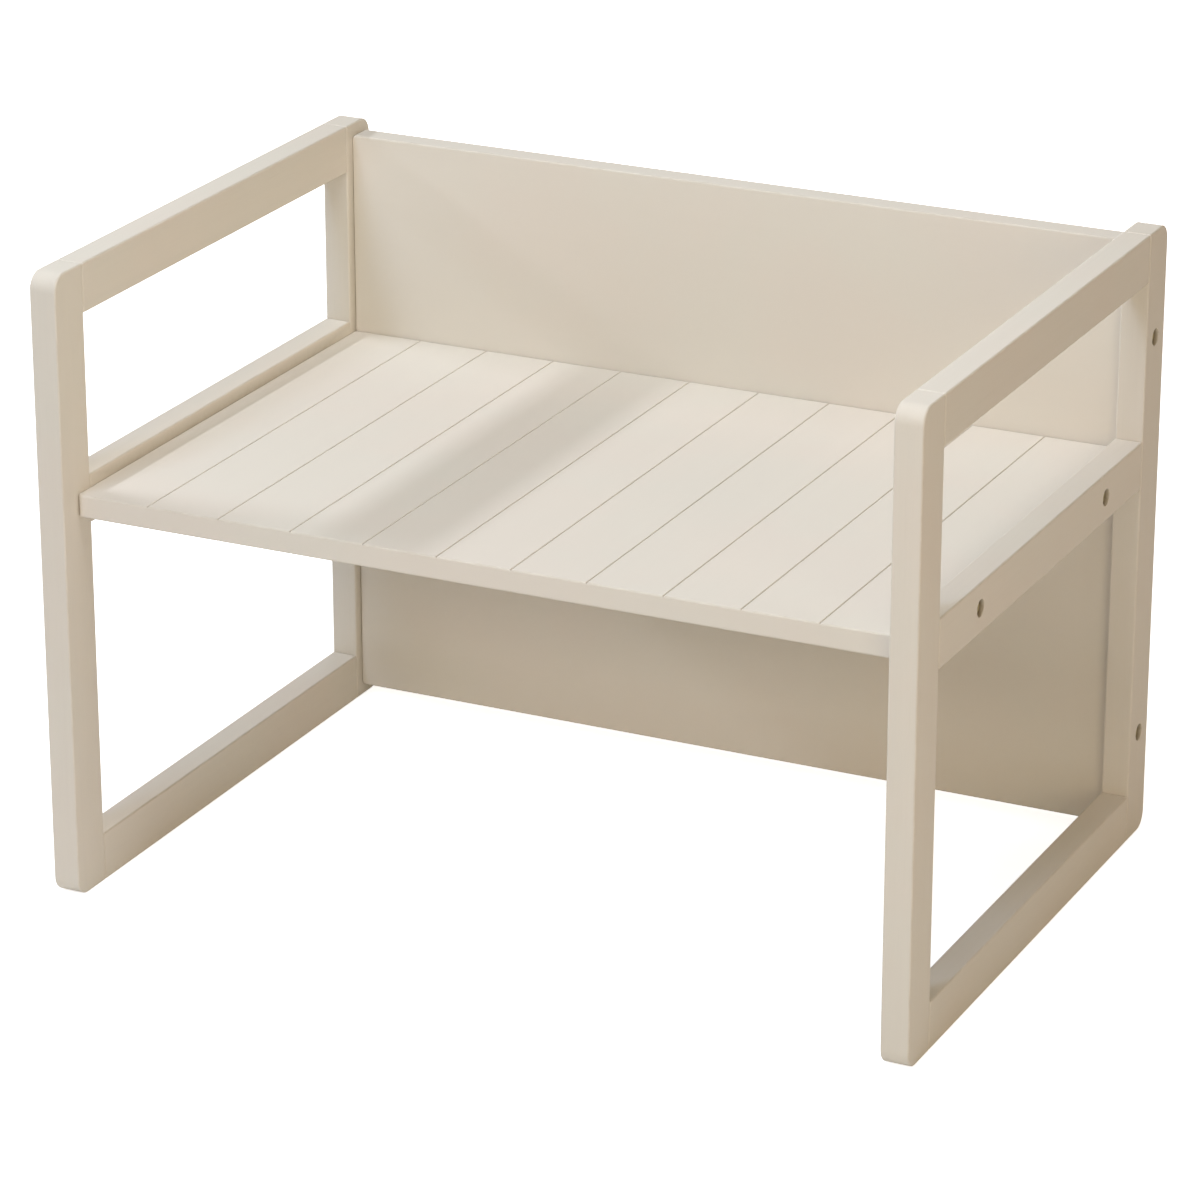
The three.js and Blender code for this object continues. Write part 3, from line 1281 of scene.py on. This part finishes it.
    def strip_face(self, shell: Shell, rim: list[int], starts: dict[Edge, int]) -> None:
        """Fill a face with strips between the stops of its two long edges, and its two ends.

        Args:
            shell: The plate's surface.
            rim: The face's rim.
            starts: The number of the first point of each edge.
        """
        last = len(self.stops) + 1
        upper, lower = starts[Edge.PLUS_V], starts[Edge.MINUS_V]
        back = rim[upper: upper + last + 1]
        front = rim[lower: lower + last + 1][::-1]
        for (back_here, front_here), (back_next, front_next) in pairwise(zip(back, front)):
            shell.faces.append((back_here, back_next, front_next, front_here))
        shell.faces.append((*rim[lower + last:], *rim[:upper + 1]))
        shell.faces.append(tuple(rim[upper + last: lower + 1]))


# Pieces on the bench

def placed(
    name: str, mesh: bpy.types.Mesh, material: bpy.types.Material | None = None
) -> bpy.types.Object:
    """Put a mesh in the scene as an object at the origin.

    Args:
        name: The object's name.
        mesh: Its mesh, whose place is in its points.
        material: Its finish, unless its node tree sets one.

    Returns:
        The object.
    """
    piece = bpy.data.objects.new(name, mesh)
    bpy.context.scene.collection.objects.link(piece)
    if material:
        mesh.materials.append(material)
    return piece


def grown(
    piece: bpy.types.Object, tree: bpy.types.NodeTree, values: dict[str, Wire]
) -> bpy.types.Object:
    """Run a geometry tree on a piece and keep the result as its own plain mesh.

    Args:
        piece: The piece.
        tree: The tree.
        values: Its inputs, by name.

    Returns:
        The same piece, with no modifier left.
    """
    modifier = piece.modifiers.new(tree.name, "NODES")
    modifier.node_group = tree
    for item in tree.interface.items_tree:
        if item.in_out == "INPUT" and item.name in values:
            modifier[item.identifier] = values[item.name]
    bpy.context.view_layer.update()
    depsgraph = bpy.context.evaluated_depsgraph_get()
    mesh = bpy.data.meshes.new_from_object(
        piece.evaluated_get(depsgraph), preserve_all_data_layers=True, depsgraph=depsgraph
    )
    mesh.name = piece.name
    piece.modifiers.clear()
    piece.data = mesh
    return piece


def seated(piece: bpy.types.Object, nodes: list[str]) -> bpy.types.Object:
    """Put a finished piece on the body that it rides on, and hide the CAD nodes that it stands
    for.

    Args:
        piece: The piece.
        nodes: The CAD nodes that it replaces.

    Returns:
        The piece.
    """
    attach(piece, BODY)
    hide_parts(*nodes)
    return piece


def middle_and_size(node: str) -> tuple[Vector, Vector]:
    """A CAD node's middle and its size along each axis.

    Args:
        node: The node.

    Returns:
        The middle and the size.
    """
    low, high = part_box(node)
    return (low + high) / 2, high - low


def nodes_with(words: str) -> list[str]:
    """The names of the CAD nodes that have some words in them, sorted."""
    return sorted(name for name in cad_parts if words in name)


@dataclass
class SideFrame:
    """One open side frame: two stiles with three rails butted between them."""

    side: Side
    palette: Palette
    chooser: random.Random
    outer_corner: float = 12 * MM
    inner_corner: float = 0.8 * MM
    stock_arris: float = 1.3 * MM
    end_ease: float = 1.2 * MM
    dowel_bore: float = 4.2 * MM
    dowel_reach: float = 16 * MM

    RAILS: ClassVar = ("arm", "seat", "floor")
    SCREWS: ClassVar = {"seat_rail": "seat_screw", "rear_stile": "back_screw"}

    def build(self) -> list[bpy.types.Object]:
        """Build the frame's members.

        Returns:
            The five pieces.
        """
        return [self.stile(end) for end in End] + [self.rail(rail) for rail in self.RAILS]

    def stile(self, end: End) -> bpy.types.Object:
        """A full-height stile, with its two outer corners rounded.

        Args:
            end: The end of the rails that it stands at.

        Returns:
            The piece.
        """
        outer, inner = self.outer_corner, self.inner_corner
        is_front = end is End.FRONT
        return self.member(
            f"{end.value}_stile",
            (inner, outer, outer, inner) if is_front else (outer, inner, inner, outer),
            (self.stock_arris, self.stock_arris),
            {(rail, end): end.stile_edge for rail in self.RAILS},
            self.palette.uprights,
        )

    def rail(self, rail: str) -> bpy.types.Object:
        """A rail between the stiles, its ends lightly eased.

        Args:
            rail: Which rail.

        Returns:
            The piece.
        """
        return self.member(
            f"{rail}_rail",
            (self.end_ease,) * 4,
            (self.end_ease, self.stock_arris),
            {(rail, end): end.rail_edge for end in End},
            self.palette.rails,
        )

    def member(
        self,
        name: str,
        corner_radii: tuple[float, ...],
        arris: tuple[float, float],
        joints: dict[tuple[str, End], Edge],
        finish: bpy.types.Material,
    ) -> bpy.types.Object:
        """Make one member's piece.

        Args:
            name: The member's name, without its side.
            corner_radii: The radii of its corners.
            arris: The sizes of its arrises, along u and along v.
            joints: The rail ends that are joined to it, each with the edge that it meets.
            finish: Its finish.

        Returns:
            The piece.
        """
        node = f"{self.side.word}_{name}"
        middle, size = middle_and_size(node)
        plate = EasedPlate(
            *Lie.ON_SIDE.measured(size), corner_radii, arris,
            counterbores=self.counterbores(name, middle),
            end_bores=[
                EndBore(edge, level - middle.z, self.dowel_bore, self.dowel_reach)
                for (rail, end), edge in joints.items()
                for level in self.dowel_levels(rail, end)
            ],
            joints=tuple(joints.values()),
        )
        mesh = plate.mesh(node, Lie.ON_SIDE.matrix(middle))
        set_numbers(mesh, "member", [self.chooser.uniform(-1, 1)] * len(mesh.vertices))
        return seated(placed(f"{node}_lacquered", mesh, finish), [node])

    def dowel_levels(self, rail: str, end: End) -> list[float]:
        """The heights of the two dowels in one end of a rail.

        Args:
            rail: Which rail.
            end: Which end of it.

        Returns:
            Their heights, the upper one first.
        """
        start = f"{self.side.word}_{rail}_rail_{end.value}"
        return [middle_and_size(f"{start}_{level}_dowel")[0].z for level in ("upper", "lower")]

    def counterbores(self, name: str, middle: Vector) -> list[Counterbore]:
        """The screw holes of one member.

        Args:
            name: The member's name, without its side.
            middle: Its middle.

        Returns:
            Its holes, with their mouths on the frame's outer face.
        """
        if name not in self.SCREWS:
            return []
        screws = nodes_with(f"{self.side.word}_{self.SCREWS[name]}")
        places = [middle_and_size(screw)[0] - middle for screw in screws]
        return [Counterbore(place.y, place.z, self.side.value) for place in places]


@dataclass
class Board:
    """A plain board between the side frames, screwed on through them into its two ends."""

    node: str
    lie: Lie
    finish: bpy.types.Material
    screws: str
    end_arris: float = 0.5 * MM
    edge_arris: float = 1.5 * MM
    corner: float = 3 * MM
    pilot_radius: float = 2.7 * MM
    pilot_depth: float = 40 * MM

    def pilots(self, middle: Vector) -> list[EndBore]:
        """The pilot holes in the board's two ends.

        Args:
            middle: The board's middle.

        Returns:
            The holes.
        """
        to_plate = self.lie.matrix(middle).inverted()
        return [
            EndBore(edge, (to_plate @ middle_and_size(screw)[0]).y,
                    self.pilot_radius, self.pilot_depth)
            for edge, side in ((Edge.PLUS_U, Side.RIGHT), (Edge.MINUS_U, Side.LEFT))
            for screw in nodes_with(f"{side.word}_{self.screws}")
        ]

    def mesh(self, stops: list[float]) -> bpy.types.Mesh:
        """The board's mesh.

        Args:
            stops: Places along its width that grooves need.

        Returns:
            The mesh.
        """
        middle, size = middle_and_size(self.node)
        plate = EasedPlate(
            *self.lie.measured(size), (self.corner,) * 4, (self.end_arris, self.edge_arris),
            stops=stops,
            end_bores=self.pilots(middle),
        )
        mesh = plate.mesh(self.node, self.lie.matrix(middle))
        set_numbers(mesh, "member", [0.0] * len(mesh.vertices))
        return mesh

    def build(self) -> bpy.types.Object:
        """Build the board.

        Returns:
            The piece.
        """
        piece = placed(f"{self.node}_lacquered", self.mesh([]), self.finish)
        return seated(piece, [self.node])


@dataclass
class SeatBoard(Board):
    """The seat board, parted by rounded grooves into strips on both of its faces."""

    inner_width: float = 600 * MM
    strips: int = 11
    groove_width: float = 1.6 * MM
    groove_depth: float = 0.85 * MM

    # Where the mesh has points across a groove, in halves of its width from its middle
    PROFILE: ClassVar = (1.35, 1.1, 1.0, 0.8, 0.6, 0.4, 0.2, 0.0)

    @property
    def pitch(self) -> float:
        """How far apart the grooves are."""
        return self.inner_width / self.strips

    def groove_places(self) -> list[float]:
        """The grooves' middles along the board's width."""
        return [(step + 1) * self.pitch - self.inner_width / 2 for step in range(self.strips - 1)]

    def build(self) -> bpy.types.Object:
        """Build the board and cut its grooves with the groove tree.

        Returns:
            The piece.
        """
        half = self.groove_width / 2
        offsets = sorted({sign * share * half for share in self.PROFILE for sign in (-1, 1)})
        places = self.groove_places()
        mesh = self.mesh([place + offset for place in places for offset in offsets])
        middle, size = middle_and_size(self.node)
        piece = grown(placed(f"{self.node}_lacquered", mesh), self.groove_tree(), {
            "First groove": places[0],
            "Pitch": self.pitch,
            "Grooves": len(places),
            "Width": self.groove_width,
            "Depth": self.groove_depth,
            "Middle": middle.z,
            "Half thickness": size.z / 2,
            "Finish": self.finish,
        })
        return seated(piece, [self.node])

    @staticmethod
    def groove_tree() -> bpy.types.NodeTree:
        """The tree that presses evenly spaced grooves into both faces of a board.

        Returns:
            The tree.
        """
        sheet = GeometryWiring(
            "seat_grooves",
            [
                Plug("Board", SocketKind.GEOMETRY),
                Plug("First groove", SocketKind.NUMBER, 0.0),
                Plug("Pitch", SocketKind.NUMBER, 0.05),
                Plug("Grooves", SocketKind.COUNT, 10),
                Plug("Width", SocketKind.NUMBER, 0.002),
                Plug("Depth", SocketKind.NUMBER, 0.001),
                Plug("Middle", SocketKind.NUMBER, 0.0),
                Plug("Half thickness", SocketKind.NUMBER, 0.008),
            ],
            "Board",
        )
        given = sheet.given
        _, parts = sheet.point()
        from_first = sheet.minus(parts[0], given["First groove"])
        nearest = sheet.math("ROUND", sheet.math("DIVIDE", from_first, given["Pitch"]))
        last = sheet.minus(given["Grooves"], 1.0)
        nearest = sheet.math("MINIMUM", sheet.math("MAXIMUM", nearest, 0.0), last)
        off = sheet.minus(from_first, sheet.times(nearest, given["Pitch"]))
        half = sheet.times(given["Width"], 0.5)
        share = sheet.math("DIVIDE", sheet.math("ABSOLUTE", off), half)
        bell = sheet.bell(sheet.times(sheet.math("MINIMUM", share, 1.0), math.pi))
        deepest = sheet.minus(given["Half thickness"], sheet.times(bell, given["Depth"]))
        height = sheet.minus(parts[2], given["Middle"])
        level = sheet.math("ABSOLUTE", height)
        lowered = sheet.times(sheet.math("MINIMUM", level, deepest), sheet.math("SIGN", height))
        # How deep each point lies in a groove, which sets its dust and painted shade
        pressed = sheet.times(bell, sheet.math("GREATER_THAN", level, deepest))
        shaded = sheet.sunk(given["Board"], pressed)
        place = sheet.vector(parts[0], parts[1], sheet.plus(given["Middle"], lowered))
        return sheet.finished(sheet.moved(shaded, place))


def places_mesh(name: str, places: list[Vector], aims: list[Vector]) -> bpy.types.Mesh:
    """A mesh of loose points, each with the way its instance faces.

    Args:
        name: The mesh's name.
        places: The points.
        aims: The directions.

    Returns:
        The mesh.
    """
    mesh = bpy.data.meshes.new(name)
    mesh.from_pydata(places, [], [])
    flat = [number for aim in aims for number in aim]
    mesh.attributes.new("aim", "FLOAT_VECTOR", "POINT").data.foreach_set("vector", flat)
    return mesh


@dataclass
class ConnectorScrews:
    """The hex-socket connector screws, sunk in the frames' counterbores."""

    finish: bpy.types.Material
    head_radius: float = 5 * MM
    head_height: float = 5 * MM
    head_ease: float = 0.6 * MM
    head_steps: int = 5
    under_ease: float = 0.3 * MM
    neck_radius: float = 3.5 * MM
    neck_length: float = 11.7 * MM
    neck_taper: float = 1 * MM
    core_radius: float = 2.5 * MM
    length: float = 50 * MM
    tip: float = 4 * MM
    tip_radius: float = 0.4 * MM
    socket_flats: float = 5 * MM
    socket_depth: float = 3 * MM
    socket_chamfer: float = 0.35 * MM
    socket_floor: float = 0.5 * MM
    sides: int = 48
    seed: int = 7

    # The socket's floor as a share of its mouth, the land round the socket in chamfers, and
    # the head's rounding with the land inside it in eases
    FLOOR_SHARE: ClassVar[float] = 0.9
    SOCKET_LAND: ClassVar[float] = 3
    RIM_LAND: ClassVar[float] = 1.4

    def build(self) -> bpy.types.Object:
        """Build all the screws as one piece.

        Returns:
            The piece.
        """
        nodes = nodes_with("_screw_")
        places, aims = [], []
        for name in nodes:
            low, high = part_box(name)
            middle, head = (low + high) / 2, max(low.x, high.x, key=abs)
            places.append(Vector((head, middle.y, middle.z)))
            aims.append(Vector((math.copysign(1, head), 0, 0)))
        pattern = placed("screw_pattern", self.screw_mesh())
        mesh = places_mesh("screw_places", places, aims)
        values = {"Screw": pattern, "Finish": self.finish}
        piece = grown(placed("connector_screws", mesh), self.tree(), values)
        bpy.data.objects.remove(pattern)
        return seated(piece, nodes)

    def screw_mesh(self) -> bpy.types.Mesh:
        """One screw along its own Z, with the face of its head at the origin and facing +Z.

        Returns:
            The mesh.
        """
        shell = Shell()
        circle = round_ring((0.0, 0.0), 1.0, self.sides)
        apothem, chamfer = self.socket_flats / 2, self.socket_chamfer

        def hexed(scale: float, depth: float, recess: float) -> list[int]:
            """A ring in the shape of the hex socket.

            Args:
                scale: Its size against the socket's.
                depth: How deep it lies.
                recess: How far it is sunk, 0 to 1.

            Returns:
                The ring.
            """
            points = []
            for u, v in circle:
                turn = math.atan2(v, u) % (math.pi / 3) - math.pi / 6
                reach = scale * apothem / math.cos(turn)
                points.append(Vector((u * reach, v * reach, -depth)))
            return shell.ring(points, recess=recess)

        def turned(radius: float, depth: float, recess: float = 0.0) -> list[int]:
            """A round ring.

            Args:
                radius: Its radius.
                depth: How deep it lies.
                recess: How far it is sunk, 0 to 1.

            Returns:
                The ring.
            """
            points = [Vector((u * radius, v * radius, -depth)) for u, v in circle]
            return shell.ring(points, recess=recess)

        # Each ring's recess sets its dust and painted shade: full in the socket and under the
        # head, half along the shank
        rings = [
            hexed(self.FLOOR_SHARE, self.socket_depth + self.socket_floor, 1.0),
            hexed(1.0, self.socket_depth, 1.0),
            hexed(1.0, chamfer, 0.5),
            hexed(1 + chamfer / apothem, 0.0, 0.1),
            turned(apothem + self.SOCKET_LAND * chamfer, 0.0),
            turned(self.head_radius - self.RIM_LAND * self.head_ease, 0.0),
        ]
        for step in range(self.head_steps + 1):
            turn = math.radians(90 * step / self.head_steps)
            radius = self.head_radius - self.head_ease * (1 - math.sin(turn))
            rings.append(turned(radius, self.head_ease * (1 - math.cos(turn))))
        under, neck, core = self.head_height, self.neck_radius, self.core_radius
        rings += [
            turned(self.head_radius, under - self.under_ease, 0.6),
            turned(self.head_radius - self.under_ease, under, 1.0),
            turned(neck, under, 1.0),
            turned(neck, under + self.neck_length - self.neck_taper, 0.5),
            turned(core, under + self.neck_length, 0.5),
            turned(core, under + self.length - self.tip, 0.5),
            turned(self.tip_radius, under + self.length, 0.5),
        ]
        shell.sleeve(rings)
        shell.fill(rings[0])
        shell.fill(rings[-1])
        mesh = shell.mesh("screw", Matrix.Identity(4))
        radii = [math.hypot(point.co.x, point.co.y) for point in mesh.vertices]
        set_numbers(mesh, "radius", radii)
        return mesh

    def tree(self) -> bpy.types.NodeTree:
        """The tree that puts a screw in every hole.

        Returns:
            The tree.
        """
        inputs = [Plug("Places", SocketKind.GEOMETRY), Plug("Screw", SocketKind.OBJECT)]
        sheet = GeometryWiring("connector_screws", inputs, "Screws")
        info = sheet.add("GeometryNodeObjectInfo", None, {"Object": sheet.given["Screw"]})
        screw = info.outputs["Geometry"]
        return sheet.finished(sheet.instanced(sheet.given["Places"], screw, self.seed))


@dataclass
class RailDowels:
    """The grooved beech dowels that join rails and stiles, glued and out of sight."""

    finish: bpy.types.Material
    radius: float = 4 * MM
    length: float = 30 * MM
    chamfer: float = 1 * MM
    flutes: int = 12
    flute_depth: float = 0.25 * MM
    flute_sharpness: float = 3.0
    points_per_flute: float = 6.0
    length_steps: int = 30
    seed: int = 11

    def build(self) -> bpy.types.Object:
        """Build all the dowels as one piece.

        Returns:
            The piece.
        """
        nodes = nodes_with("_dowel")
        places = [middle_and_size(name)[0] for name in nodes]
        mesh = places_mesh("dowel_places", places, [Vector((0, 1, 0))] * len(places))
        piece = grown(placed("rail_dowels", mesh), self.tree(), {
            "Radius": self.radius,
            "Length": self.length,
            "Chamfer": self.chamfer,
            "Flutes": self.flutes,
            "Flute depth": self.flute_depth,
            "Finish": self.finish,
        })
        return seated(piece, nodes)

    def tree(self) -> bpy.types.NodeTree:
        """The tree that flutes a dowel and puts one in every joint.

        Returns:
            The tree.
        """
        sheet = GeometryWiring(
            "rail_dowels",
            [
                Plug("Places", SocketKind.GEOMETRY),
                Plug("Radius", SocketKind.NUMBER, 0.004),
                Plug("Length", SocketKind.NUMBER, 0.03),
                Plug("Chamfer", SocketKind.NUMBER, 0.001),
                Plug("Flutes", SocketKind.COUNT, 12),
                Plug("Flute depth", SocketKind.NUMBER, 0.0003),
            ],
            "Dowels",
        )
        given = sheet.given
        rod = sheet.made("GeometryNodeMeshCylinder", {"fill_type": "TRIANGLE_FAN"}, {
            "Vertices": sheet.times(given["Flutes"], self.points_per_flute),
            "Side Segments": self.length_steps,
            "Radius": 1.0,
            "Depth": given["Length"],
        })
        place, parts = sheet.point()
        turn = sheet.times(sheet.math("ARCTAN2", parts[1], parts[0]), given["Flutes"])
        flute = sheet.math("POWER", sheet.bell(turn), self.flute_sharpness)
        half = sheet.times(given["Length"], 0.5)
        end = sheet.minus(half, sheet.math("ABSOLUTE", parts[2]))
        cut = sheet.math("MAXIMUM", sheet.minus(given["Chamfer"], end), 0.0)
        fluted = sheet.times(flute, given["Flute depth"])
        radius = sheet.minus(sheet.minus(given["Radius"], cut), fluted)
        shaped = sheet.moved(rod, sheet.scaled(place, sheet.vector(radius, radius, 1.0)))
        # The flutes get dust and painted shade by their depth
        dowel = sheet.sunk(shaped, flute)
        return sheet.finished(sheet.instanced(given["Places"], dowel, self.seed))


# The studio

@dataclass(frozen=True)
class Lamp:
    """A soft rectangular lamp, its longer side level."""

    name: str
    place: Place
    aim: Place
    size: tuple[float, float]
    power: float
    colour: Colour

    def hang(self) -> None:
        """Put the lamp in the scene."""
        data = bpy.data.lights.new(self.name, "AREA")
        data.shape = "RECTANGLE"
        data.size, data.size_y = self.size
        data.energy = self.power
        data.color = self.colour
        lamp = bpy.data.objects.new(self.name, data)
        back = (Vector(self.place) - Vector(self.aim)).normalized()
        level = Vector((0, 0, 1)).cross(back).normalized()
        turn = Matrix((level, back.cross(level), back)).transposed().to_4x4()
        lamp.matrix_world = Matrix.Translation(self.place) @ turn
        bpy.context.scene.collection.objects.link(lamp)


@dataclass(frozen=True)
class PhotoCamera:
    """The camera at the photograph's viewing angle."""

    place: Place = (1.3947, -2.9068, 1.4444)
    turn: float = 25.726
    tilt: float = 21.18
    lens: float = 150.0
    sensor: float = 36.0

    def stand(self) -> None:
        """Put the camera in the scene and look through it."""
        data = bpy.data.cameras.new("photo_camera")
        data.lens = self.lens
        data.sensor_width = self.sensor
        camera = bpy.data.objects.new("photo_camera", data)
        camera.location = self.place
        camera.rotation_euler = (math.radians(90 - self.tilt), 0.0, math.radians(self.turn))
        bpy.context.scene.collection.objects.link(camera)
        bpy.context.scene.camera = camera


@dataclass
class Studio:
    """A pale floor, plain soft light all round and the camera."""

    floor_size: float = 24.0
    floor_colour: Colour = (0.9, 0.9, 0.9)
    floor_glow: tuple[float, float] = (0.74, 1.0)
    glow_reach: tuple[float, float] = (0.7, 2.2)
    floor_gloss: float = 0.3
    room_colour: Colour = (1.0, 0.75, 0.29)
    room_strength: float = 0.165

    WHITE: ClassVar = (1.0, 1.0, 1.0, 1.0)
    # Name, place, aim, size, power and colour
    LAMPS: ClassVar = (
        Lamp("key_strip", (-3.74, 0.1, 2.49), (0.0, 0.1, 0.3),
             (1.95, 0.21), 96.0, (0.83, 0.88, 1.0)),
        Lamp("upper_left_box", (-0.65, -2.07, 2.37), (0.0, 0.0, 0.3),
             (0.52, 1.0), 23.7, (0.53, 0.69, 1.0)),
        Lamp("front_strip", (0.2, -2.6, 1.46), (0.0, 0.0, 0.2),
             (2.0, 0.3), 13.8, (1.0, 0.95, 0.92)),
        Lamp("right_front_box", (2.2, -2.2, 0.9), (0.0, 0.0, 0.3),
             (1.5, 1.5), 17.8, (1.0, 0.86, 0.62)),
        Lamp("right_box", (3.0, -0.3, 1.4), (0.0, 0.0, 0.3),
             (1.6, 1.6), 11.8, (1.0, 0.83, 0.86)),
        Lamp("overhead_box", (0.1, -0.3, 1.7), (0.05, 0.0, 0.3),
             (0.8, 0.8), 11.0, (0.86, 0.92, 1.0)),
        Lamp("rear_low_box", (-0.9, 3.0, 0.3), (0.0, 0.2, 0.25),
             (1.7, 0.45), 50.0, (0.96, 0.95, 1.0)),
    )

    def build(self) -> None:
        """Lay the floor, light the room and stand the camera."""
        self.lay_floor()
        self.light_room()
        for lamp in self.LAMPS:
            lamp.hang()
        PhotoCamera().stand()
        bpy.context.scene.view_settings.view_transform = "Standard"

    @staticmethod
    def mirrored(path: bpy.types.NodeOutputs, sheet: Wiring) -> Socket:
        """Whether a ray, by its Light Path outputs, comes by way of a gloss or of glass."""
        return sheet.math("MAXIMUM", path["Is Glossy Ray"], path["Is Transmission Ray"])

    def lay_floor(self) -> None:
        """Lay the floor, which shows the bench's shadow."""
        half = self.floor_size / 2
        corners = [(-half, -half, 0), (half, -half, 0), (half, half, 0), (-half, half, 0)]
        mesh = bpy.data.meshes.new("studio_floor")
        mesh.from_pydata(corners, [], [(0, 1, 2, 3)])
        sheet = MaterialWiring("floor_paper")
        length = {"operation": "LENGTH"}
        away = sheet.add("ShaderNodeVectorMath", length, {0: sheet.place}).outputs["Value"]
        path = sheet.add("ShaderNodeLightPath").outputs
        fade = sheet.ranged(away, self.glow_reach, self.floor_glow)
        paper = sheet.times(path["Is Camera Ray"], fade)
        gloss = sheet.times(self.mirrored(path, sheet), self.floor_gloss)
        sheet.feed({
            "Base Color": (*self.floor_colour, 1.0),
            "Roughness": 1.0,
            "Specular IOR Level": 0.0,
            "Emission Color": self.WHITE,
            "Emission Strength": sheet.plus(paper, gloss),
        })
        placed("studio_floor", mesh, sheet.material)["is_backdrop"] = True

    def light_room(self) -> None:
        """Light the scene evenly from all round, with a white background behind it."""
        world = bpy.data.worlds.new("studio_room")
        world.use_nodes = True
        bpy.context.scene.world = world
        sheet = Wiring(world.node_tree)
        room = world.node_tree.nodes["Background"]
        sheet.join((*self.room_colour, 1.0), room.inputs["Color"])
        sheet.join(self.room_strength, room.inputs["Strength"])
        white = sheet.made("ShaderNodeBackground", None, {"Color": self.WHITE, "Strength": 1.0})
        path = sheet.add("ShaderNodeLightPath").outputs
        seen = sheet.math("MAXIMUM", path["Is Camera Ray"], self.mirrored(path, sheet))
        wires = {0: seen, 1: room.outputs[0], 2: white}
        shown = sheet.made("ShaderNodeMixShader", None, wires)
        sheet.join(shown, world.node_tree.nodes["World Output"].inputs["Surface"])


def main() -> None:
    """Build the bench's looks and the studio, and measure how large the two models are."""
    logging.basicConfig(level=logging.INFO, format="%(name)s: %(message)s")
    palette = Palette.mixed()
    chooser = random.Random(MEMBER_SEED)
    pieces = [piece for side in Side for piece in SideFrame(side, palette, chooser).build()]
    pieces += [
        SeatBoard("seat_board", Lie.ON_FLOOR, palette.seat, "seat_screw").build(),
        Board("back_board", Lie.ON_FRONT, palette.back, "back_screw").build(),
        ConnectorScrews(palette.screws).build(),
        RailDowels(palette.dowels).build(),
    ]
    for piece in pieces:
        log.info("%s: %d faces", piece.name, len(piece.data.polygons))
    Studio().build()
    corners = {"cad": cad_box, "visual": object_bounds()}
    sizes = {key: [list(corner) for corner in pair] for key, pair in corners.items()}


if __name__ == "__main__":
    main()
